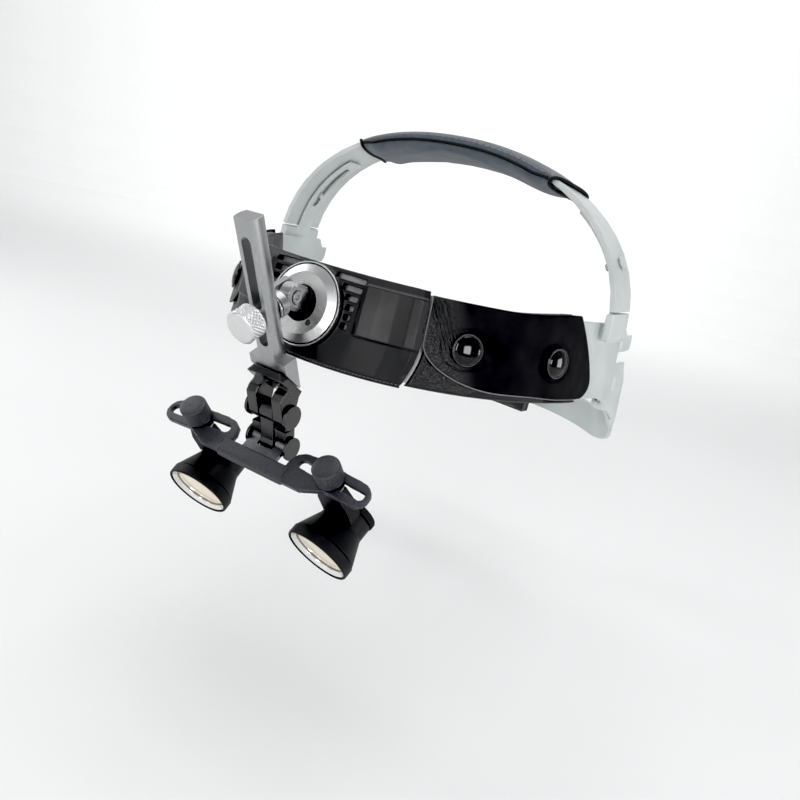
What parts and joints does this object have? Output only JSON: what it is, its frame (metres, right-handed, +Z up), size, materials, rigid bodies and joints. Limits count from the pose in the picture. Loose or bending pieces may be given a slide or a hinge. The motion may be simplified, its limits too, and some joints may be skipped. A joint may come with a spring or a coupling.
{
  "type": "head visor magnifier",
  "caption": "Head-worn magnifier: leather and plastic headband with a forehead housing, a slide bar, flip-up hinge and cross bar carrying two telescope loupe barrels",
  "frame": {"origin": "centre of the head opening at the middle of the band height, at mount head_seat", "axes": "+Z up, the wearer faces -Y, +X is the wearer's left"},
  "size_m": [0.1844, 0.2642, 0.1684],
  "materials": {
    "black_plastic": "satin",
    "white_plastic": "satin",
    "foam": "matte",
    "leather": "grained",
    "gloss_black": "gloss",
    "silver": "satin",
    "chrome": "polished",
    "black_metal": "matte",
    "rubber": "matte",
    "glass": "polished",
    "pad_fabric": "woven"
  },
  "bodies": {
    "headband": {"front_housing": "black_plastic", "housing_back_plate": "white_plastic", "forehead_pad": "foam", "disc_trim_ring": "silver", "mounting_disc": "silver", "disc_grub_screw": "black_metal", "left_leather_flap": "leather", "right_leather_flap": "leather", "left_leather_underlay": "leather", "right_leather_underlay": "leather", "left_front_snap": "gloss_black", "left_rear_snap": "gloss_black", "right_front_snap": "gloss_black", "right_rear_snap": "gloss_black", "left_side_yoke": "white_plastic", "right_side_yoke": "white_plastic"},
    "crown": {"crown_strap": "white_plastic", "left_strap_peg": "white_plastic", "right_strap_peg": "white_plastic", "crown_pad": "pad_fabric"},
    "rear": {"left_rear_strap": "white_plastic", "right_rear_strap": "white_plastic", "ratchet_housing": "white_plastic", "ratchet_cover": "white_plastic", "occipital_pad": "foam"},
    "ratchet": {"ratchet_knob": "black_plastic", "ratchet_pinion": "black_plastic"},
    "post": {"swivel_post": "chrome", "pivot_screw": "chrome"},
    "arm": {"tilt_arm": "silver", "clamp_washer": "chrome"},
    "thumb": {"thumb_screw": "silver"},
    "slider": {"slider_bar": "silver", "hinge_bracket": "black_metal", "bracket_screw": "chrome", "upper_hinge_pin": "black_metal"},
    "link": {"hinge_link": "black_metal", "lower_hinge_pin": "black_metal"},
    "bridge": {"cross_bar": "black_metal", "hinge_leaf": "chrome"},
    "left_carrier": {"left_stud": "black_metal"},
    "left_loupe": {"left_neck": "black_metal", "left_barrel": "black_metal", "left_objective_bezel": "black_metal", "left_lens_ring": "silver", "left_objective_lens": "glass", "left_eyepiece_lens": "glass", "left_eyecup": "rubber"},
    "left_thumb_nut": {"left_knob": "black_metal"},
    "right_carrier": {"right_stud": "black_metal"},
    "right_loupe": {"right_neck": "black_metal", "right_barrel": "black_metal", "right_objective_bezel": "black_metal", "right_lens_ring": "silver", "right_objective_lens": "glass", "right_eyepiece_lens": "glass", "right_eyecup": "rubber"},
    "right_thumb_nut": {"right_knob": "black_metal"}
  },
  "joints": [
    {"name": "crown_height", "type": "slide", "parent": "headband", "child": "crown", "axis": [0, 0, 1], "range_m": [0, 0.01]},
    {"name": "rear_fit", "type": "slide", "parent": "headband", "child": "rear", "axis": [0, 0.8746, -0.4848], "range_m": [-0.003, 0.004]},
    {"name": "ratchet_turn", "type": "hinge", "parent": "rear", "child": "ratchet", "pos_m": [0, 0.1, -0.046], "axis": [0, 1, 0], "range_deg": [-35.5, 46.5]},
    {"name": "post_swivel", "type": "hinge", "parent": "headband", "child": "post", "pos_m": [0, -0.09993, 0.00029], "axis": [0, -0.9759, 0.2181], "range_deg": [-20, 20]},
    {"name": "arm_tilt", "type": "hinge", "parent": "post", "child": "arm", "pos_m": [0, -0.11379, 0.00449], "axis": [1, 0, 0], "range_deg": [-20, 12]},
    {"name": "thumb_turn", "type": "hinge", "parent": "arm", "child": "thumb", "pos_m": [0, -0.13669, -0.00662], "axis": [0, 0.8996, 0.4368], "continuous": true},
    {"name": "bar_slide", "type": "slide", "parent": "arm", "child": "slider", "axis": [0, -0.4368, 0.8996], "range_m": [-0.025, 0.0085]},
    {"name": "flip_up", "type": "hinge", "parent": "slider", "child": "link", "pos_m": [0, -0.1126, -0.0378], "axis": [1, 0, 0], "range_deg": [-100, 5]},
    {"name": "declination", "type": "hinge", "parent": "link", "child": "bridge", "pos_m": [0, -0.1095, -0.0505], "axis": [1, 0, 0], "range_deg": [-20, 20]},
    {"name": "left_pupil", "type": "slide", "parent": "bridge", "child": "left_carrier", "axis": [0.9978, -0.0512, -0.0421], "range_m": [-0.006, 0.008]},
    {"name": "left_convergence", "type": "hinge", "parent": "left_carrier", "child": "left_loupe", "pos_m": [0.0321, -0.11447, -0.05284], "axis": [0, -0.6347, 0.7727], "range_deg": [-10, 10]},
    {"name": "left_nut_turn", "type": "hinge", "parent": "left_carrier", "child": "left_thumb_nut", "pos_m": [0.0321, -0.11447, -0.05284], "axis": [0, -0.6347, 0.7727], "continuous": true},
    {"name": "right_pupil", "type": "slide", "parent": "bridge", "child": "right_carrier", "axis": [-0.9978, -0.0512, -0.0421], "range_m": [-0.006, 0.008]},
    {"name": "right_convergence", "type": "hinge", "parent": "right_carrier", "child": "right_loupe", "pos_m": [-0.0321, -0.11447, -0.05284], "axis": [0, -0.6347, 0.7727], "range_deg": [-10, 10]},
    {"name": "right_nut_turn", "type": "hinge", "parent": "right_carrier", "child": "right_thumb_nut", "pos_m": [-0.0321, -0.11447, -0.05284], "axis": [0, -0.6347, 0.7727], "continuous": true}
  ],
  "couplings": [
    {"joint": "ratchet_turn", "follows": "rear_fit", "rad_per_m": 200}
  ]
}
